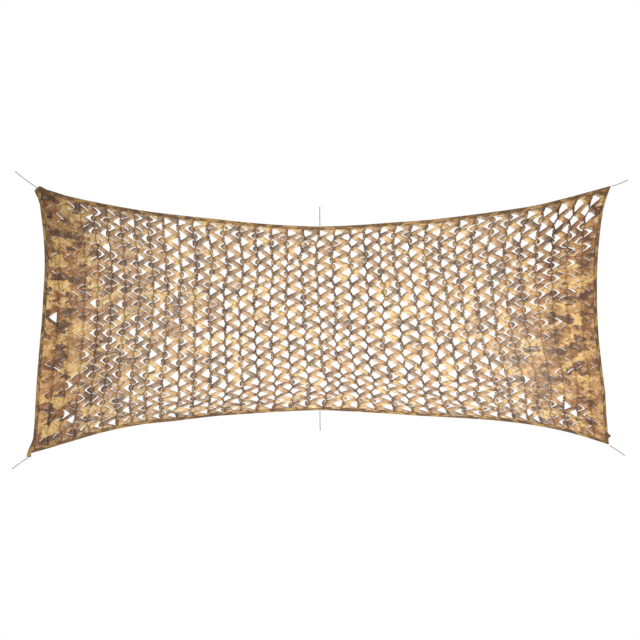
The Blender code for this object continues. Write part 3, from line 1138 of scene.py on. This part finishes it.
def add_tongue(line, row, side, half, openness, chance):
    """A tongue at a line and row, pointing to side (+1 right, -1 left)."""
    openness = min(openness, MOST_BENT)
    base_line = line + side * STRIP_HALF
    width = np.linspace(-1.0, 1.0, TONGUE_WIDE + 1)
    share = np.linspace(0.0, 1.0, TONGUE_LONG + 1)
    narrow = np.clip(1.0 - share, 0.0, 1.0) ** EDGE_POWER
    # Slack: the tongue lies in its opening, just behind the strands.
    reach = base_line + side * share * SLIT_REACH * ARM_LENGTH
    slack_rows = row + half * width[None, :] * narrow[:, None] + chance["slide"] * share[:, None]
    slack = lattice_place(reach[:, None] + 0.0 * slack_rows, slack_rows)
    slack[..., 1] += SLACK_BEHIND * share[:, None]
    # Stretched: it turns back about its base.
    base = slack[0]
    middle = base[TONGUE_WIDE // 2]
    out = slack[TONGUE_LONG // 2, TONGUE_WIDE // 2] - middle
    out = out / np.linalg.norm(out)
    spine = bent_spine(middle, out, openness, chance)
    spine[:, 2] += share**2 * chance["droop"] * openness
    slim = (1.0 - TONGUE_TRIM) * narrow * (1.0 - CUPPING * min(openness, CUPPED_BY))
    bent = spine[:, None, :] + (base - middle)[None, :, :] * slim[:, None, None]
    twist = chance["twist"] * openness * share[:, None] * narrow[:, None]
    bent[..., 1] += twist * width[None, :]
    stretched = smooth_step(openness / SLACK_OPENNESS)
    points = slack * (1.0 - stretched) + bent * stretched
    flat_x = (line * FLAT_COLUMN + side * share * TONGUE_FLAT)[:, None] + 0.0 * width
    flat = np.stack([flat_x, -slack_rows * FLAT_ROW], axis=-1)
    marks = np.zeros_like(flat)
    add_grid(tongue_cloth, turned=side < 0, points=points, flat=flat, marks=marks)


def tongue_chance():
    """One tongue's luck: the face it folds to, how tightly it curls, and how it lies."""
    chance = {"face": 1.0 if rng.random() < FOLDS_BACK else FORWARD_FACE}
    for name, mean, spread in TONGUE_LUCK:
        chance[name] = rng.normal(mean, spread)
    return chance

# %% [markdown]
# No two tongues fold quite alike, so each draws its own luck from the seeded random numbers. All
# of them are joined into one object, which is far lighter than a thousand small ones.

# %% Every tongue
for line in range(COLUMNS):
    for side, rows, halves, opened in (
        (1, right_rows, half_right, open_right),
        (-1, left_rows, half_left, open_left),
    ):
        base_line = line if side > 0 else line + 1
        for step, row in enumerate(rows):
            half = halves[line, step]
            if half > 0.0:
                add_tongue(base_line, row, side, half, opened[line, step], tongue_chance())

tongues = cloth_object("net_tongues", tongue_cloth, both_sides)
print("tongue faces:", len(tongues.data.polygons))

# %% [markdown]
# ## Edge casings
# A casing of the same printed cloth, cut as a narrow tape, is folded over each edge with a thin
# border cord inside the fold. The cord makes the outer edge round and the stitched inner edge is
# flat.

# %% Edge casings
CASING_WIDTH = 0.024
CORD_IN_FOLD = 0.0028
PUCKER_DEPTH = 0.0006
TAPE_STARTS = {"top": 0.0, "bottom": 7.3, "left": 13.1, "right": 19.9}
PUCKER_STATIONS = 3.0
PUCKER_RATE = 200.0
BEAK_SPAN = 0.0156
SIDE_BEAK_SPAN = 3.2 * BEAK_SPAN
TOP_LEFT_BEAK = (0.018, 0.015)
LEFT_TOP_BEAK = (-0.019, -0.022)
LEFT_FOOT_OUTER = (-2.024, -1.552)
TAB_STATIONS = 8
TAB_RAILS = (
    # outer x, outer z, inner x, inner z
    (-2.024, -1.552, -1.979, -1.549),
    (-2.034, -1.580, -2.004, -1.574),
    (-2.035, -1.601, -2.0055, -1.601),
)
SPIKE_DOWN = 0.967
SPIKE_HALF_SPREAD = 0.009
SPIKE_REACH = 0.024
CASING_PROFILE = (
    # distance in from the outer edge, half thickness as a share of the fold's radius
    (0.0000, 0.00),
    (0.0006, 0.62),
    (0.0022, 1.00),
    (0.0046, 0.86),
    (0.0070, 0.50),
    (0.0150, 0.42),
    (0.0188, 0.28),
    (0.0205, 0.40),
    (0.0240, 0.34),
)

# %% [markdown]
# ### The casing's two rails
# A casing runs between an outer and an inner rail. The rails follow the net's edge, and near the
# corners the outer one is drawn out to the shapes that the sewn ends have: a beak at the top
# left, a tab at the bottom left, and a small spike at the bottom right.

# %% Casing rails
def fading(position, span):
    """1 at position 0, down to 0 at a distance of span."""
    return np.clip(1.0 - np.abs(position) / span, 0.0, 1.0)


def casing_rails(edge, share):
    """The outer and inner edge of a casing at shares of its length."""
    level = edge in ("top", "bottom")
    far = np.full_like(share, 1.0 if edge in ("bottom", "right") else 0.0)
    along, down = (share, far) if level else (far, share)
    outer = net_point(along, down, 0.0)
    inner = net_point(along, down, CASING_WIDTH)
    if edge == "top":
        outer[:, [0, 2]] += fading(share, BEAK_SPAN)[:, None] * np.array(TOP_LEFT_BEAK)
    if edge == "left":
        outer[:, [0, 2]] += fading(share, SIDE_BEAK_SPAN)[:, None] * np.array(LEFT_TOP_BEAK)
        foot = np.array(LEFT_FOOT_OUTER) - outer[-1, [0, 2]]
        outer[:, [0, 2]] += fading(1.0 - share, SIDE_BEAK_SPAN)[:, None] * foot
        for part in np.linspace(0.0, 1.0, TAB_STATIONS + 1)[1:]:
            place = [np.interp(part, (0.0, 0.5, 1.0), row) for row in np.array(TAB_RAILS).T]
            outer = np.vstack([outer, [place[0], 0.0, place[1]]])
            inner = np.vstack([inner, [place[2], 0.0, place[3]]])
    if edge == "right":
        outer[:, 0] += fading(share - SPIKE_DOWN, SPIKE_HALF_SPREAD) * SPIKE_REACH
    return outer, inner

# %% [markdown]
# ### Sweep the profile
# A cross-section of the folded tape is carried along both rails. A curve with a bevel object
# would twist at the corners, and here every ring stays square to the net. The stitching puckers
# the tape a little, which shows as a faint ripple.

# %% Casing mesh
def face_outwards(mesh):
    """Turn all faces of a closed mesh outwards."""
    bm = bmesh.new()
    bm.from_mesh(mesh)
    bmesh.ops.recalc_face_normals(bm, faces=bm.faces)
    bm.to_mesh(mesh)
    bm.free()


def casing_mesh(name, edge, stations):
    """A folded tape along one edge: 'top', 'bottom', 'left' or 'right'."""
    outer, inner = casing_rails(edge, np.linspace(0.0, 1.0, stations))
    front = list(CASING_PROFILE)
    loop = np.array(front + [(depth, -half) for depth, half in front[:0:-1]])
    inward = (loop[:, 0] / CASING_WIDTH)[None, :, None]
    grid = outer[:, None, :] * (1.0 - inward) + inner[:, None, :] * inward
    steps = np.arange(len(outer))[:, None]
    ripple = cloth_noise(steps / PUCKER_STATIONS, PUCKER_RATE * loop[None, :, 0], seed=31)
    pucker = ripple * PUCKER_DEPTH
    grid[..., 1] -= loop[None, :, 1] * CORD_IN_FOLD + pucker * np.sign(loop[None, :, 1])
    index = np.arange(grid.shape[0] * grid.shape[1]).reshape(grid.shape[:2])
    after = np.roll(index, -1, axis=1)
    sides = np.stack([index[:-1], index[1:], after[1:], after[:-1]], axis=-1).reshape(-1, 4)
    ends = [index[0].tolist(), index[-1].tolist()[::-1]]
    mesh = bpy.data.meshes.new(name)
    mesh.from_pydata(grid.reshape(-1, 3).tolist(), [], sides.tolist() + ends)
    gaps = np.linalg.norm(np.diff(outer, axis=0), axis=1)
    run = np.concatenate([[0.0], np.cumsum(gaps)]) + TAPE_STARTS[edge]
    tape = np.stack([run[:, None] + 0.0 * index, loop[None, :, 0] + 0.0 * index], axis=-1)
    write_map(mesh, FLAT_MAP, tape.reshape(-1, 2))
    face_outwards(mesh)
    mesh.shade_smooth()
    print(name, "length", round(float(gaps.sum()), 3), "m")
    return add_object(name, mesh)

# %% [markdown]
# ### Casing cloth
# The casings are strips of the same printed polyester, but a narrow tape catches only slices of
# the print, so along an edge it reads as dashes of dark and sand. The same noise blotches are
# used, squeezed across the tape. A folded tape is smoother than the net, with a roughness of
# about 0.8.

# %% Casing tape cloth
TAPE_SAND = "#A58350"
TAPE_BLOTCHES = (
    # colour, size in metres, shift, then the noise values where its edge starts and ends
    ("#5A4630", 0.085, (1.3, 4.1, 0.0), 0.47, 0.50),
    ("#7A5A38", 0.070, (9.3, 6.1, 0.0), 0.53, 0.56),
)
TAPE_SQUEEZE = (1.0, 3.0, 1.0)
CASING_STATIONS = {"top": 420, "bottom": 420, "left": 200, "right": 200}

tape, tape_shader = new_material("printed polyester casing tape", roughness=0.82)
tape_tree = tape.node_tree
tape_flat = add_node(tape_tree, "ShaderNodeUVMap", uv_map=FLAT_MAP)
squeezed = add_node(
    tape_tree,
    "ShaderNodeVectorMath",
    {0: tape_flat.outputs[0], 1: TAPE_SQUEEZE},
    operation="MULTIPLY",
)
tape_colour = linear(TAPE_SAND)
for code, *pattern in TAPE_BLOTCHES:
    mask = blotch(tape_tree, squeezed.outputs[0], *pattern)
    mix = add_node(
        tape_tree, "ShaderNodeMix", {0: mask, 6: tape_colour, 7: linear(code)}, data_type="RGBA"
    )
    tape_colour = mix.outputs[2]
tape_tree.links.new(tape_colour, tape_shader.inputs["Base Color"])

for edge, stations in CASING_STATIONS.items():
    casing = casing_mesh("folded_casing_" + edge, edge, stations)
    casing.data.materials.append(tape)
    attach(casing, "root")
    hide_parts("edge_casing_" + edge)

# %% [markdown]
# ## Folded corner
# At the top left the two casings cross and their raw ends stick out like a beak. A small folded
# corner of the same tape closes the gap between them, and the corner cord comes out of it. It is
# a flat outline given a thickness, because it is only a few centimetres across.

# %% Folded corner
CORNER_OUTLINE = (
    # x, z
    (-1.9815, 0.2490),
    (-1.9700, 0.2615),
    (-1.9615, 0.2665),
    (-1.9480, 0.2800),
    (-1.9330, 0.2560),
    (-1.9380, 0.1900),
    (-1.9420, 0.1450),
    (-1.9560, 0.1890),
    (-1.9670, 0.2330),
)
CORNER_HALF_THICKNESS = 0.0021

corner_mesh = bpy.data.meshes.new("folded_corner_top_left")
depths = (-CORNER_HALF_THICKNESS, CORNER_HALF_THICKNESS)
both_lids = [(x, y, z) for y in depths for x, z in CORNER_OUTLINE]
corners = len(CORNER_OUTLINE)
ring = [(i, (i + 1) % corners) for i in range(corners)]
walls = [(i, j, j + corners, i + corners) for i, j in ring]
lids = [tuple(range(corners)), tuple(range(2 * corners - 1, corners - 1, -1))]
corner_mesh.from_pydata(both_lids, [], lids + walls)
write_map(corner_mesh, FLAT_MAP, np.array(both_lids)[:, [0, 2]])
face_outwards(corner_mesh)
corner_mesh.materials.append(tape)
folded_corner = add_object("folded_corner_top_left", corner_mesh)
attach(folded_corner, "root")
print("folded corner across", round(folded_corner.dimensions.x * 1000.0), "mm")

# %% [markdown]
# ## Cord material
# The cord is twisted polyester, undyed khaki. Its strands are real geometry, so one plain colour
# with a fairly rough finish is enough: the light between the strands gives the twist.

# %% Cord material
KHAKI = "#6B6049"

twisted_polyester, cord_shader = new_material("twisted polyester cord, khaki", roughness=0.7)
cord_shader.inputs["Base Color"].default_value = linear(KHAKI)
for cord in cords:
    cord.data.materials.append(twisted_polyester)
print("cords with a material:", len(cords))

# %% [markdown]
# ## What the cloth is
# The net is one sheet, held stretched. Its flat size is the cloth before it was slit and pulled:
# the count of columns and rows times the flat cell. The tongues are a piece of their own here, so
# the web's own area is that rectangle less the tongues. Both pieces are attached to the root body
# in place of the frame's panel.

# %% Attach the web and tongues
# A slit's edge falls off as a power of its length, so a tongue fills 1 / (1 + that power) of its
# bounding rectangle.
for piece in (web, tongues):
    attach(piece, "root")
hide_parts("net_panel")

# %% [markdown]
# ## Studio
# The net hangs in a plain white studio. A large matt floor lies well below it and only shows from
# other sides. The world looks pure white to the camera but lights the cloth more softly, which
# needs two backgrounds and a switch. Without that the cloth would be bleached.

# %% Floor and world
FLOOR_Z = -3.3
FLOOR_SIZE = (9.0, 5.0)
FLOOR_FORWARD = -1.0
AMBIENT = 0.42
WARM_WHITE = (1.0, 0.985, 0.96)

bpy.ops.mesh.primitive_plane_add(size=1.0, location=(0.0, FLOOR_FORWARD, FLOOR_Z))
floor = bpy.context.object
floor.name = "studio_floor"
floor.scale = FLOOR_SIZE + (1.0,)
paper, paper_shader = new_material("matt white studio paper", roughness=0.9)
paper_shader.inputs["Base Color"].default_value = linear("#DEDEDC")
floor.data.materials.append(paper)

world = bpy.data.worlds.new("studio")
bpy.context.scene.world = world
world.use_nodes = True
tree = world.node_tree
tree.nodes.clear()
seen = add_node(tree, "ShaderNodeBackground", {0: (1.0, 1.0, 1.0, 1.0), 1: 1.0})
lit = add_node(tree, "ShaderNodeBackground", {0: WARM_WHITE + (1.0,), 1: AMBIENT})
path = add_node(tree, "ShaderNodeLightPath")
mix = add_node(
    tree,
    "ShaderNodeMixShader",
    {0: path.outputs["Is Camera Ray"], 1: lit.outputs[0], 2: seen.outputs[0]},
)
add_node(tree, "ShaderNodeOutputWorld", {"Surface": mix.outputs[0]})
bpy.context.scene.view_settings.view_transform = "Standard"
print("floor stands at", FLOOR_Z, "m")

# %% [markdown]
# One broad key light stands low in front, so the folds and the rolled strands get soft shadows
# above them, and a weaker one behind lights the reverse. Both are area lights, as studio soft
# boxes are.

# %% Lights
LIGHTS = (
    # name, place, size in metres, watts
    ("back_fill", (-0.6, 3.6, 0.6), 2.4, 60.0),
    ("key_light", (0.45, -3.0, -1.6), 2.0, 126.0),
)


def soft_light(name, location, size, watts):
    """A square soft light aimed at the middle of the net."""
    light = bpy.data.lights.new(name, "AREA")
    light.shape = "SQUARE"
    light.size = size
    light.energy = watts
    light.color = WARM_WHITE
    lamp = add_object(name, light)
    lamp.location = location
    aim = Vector((0.0, 0.0, VIEW_CENTRE_Z)) - Vector(location)
    lamp.rotation_euler = aim.to_track_quat("-Z", "Y").to_euler()
    lamp.visible_camera = False
    print(name, watts, "W")


for name, location, size, watts in LIGHTS:
    soft_light(name, location, size, watts)
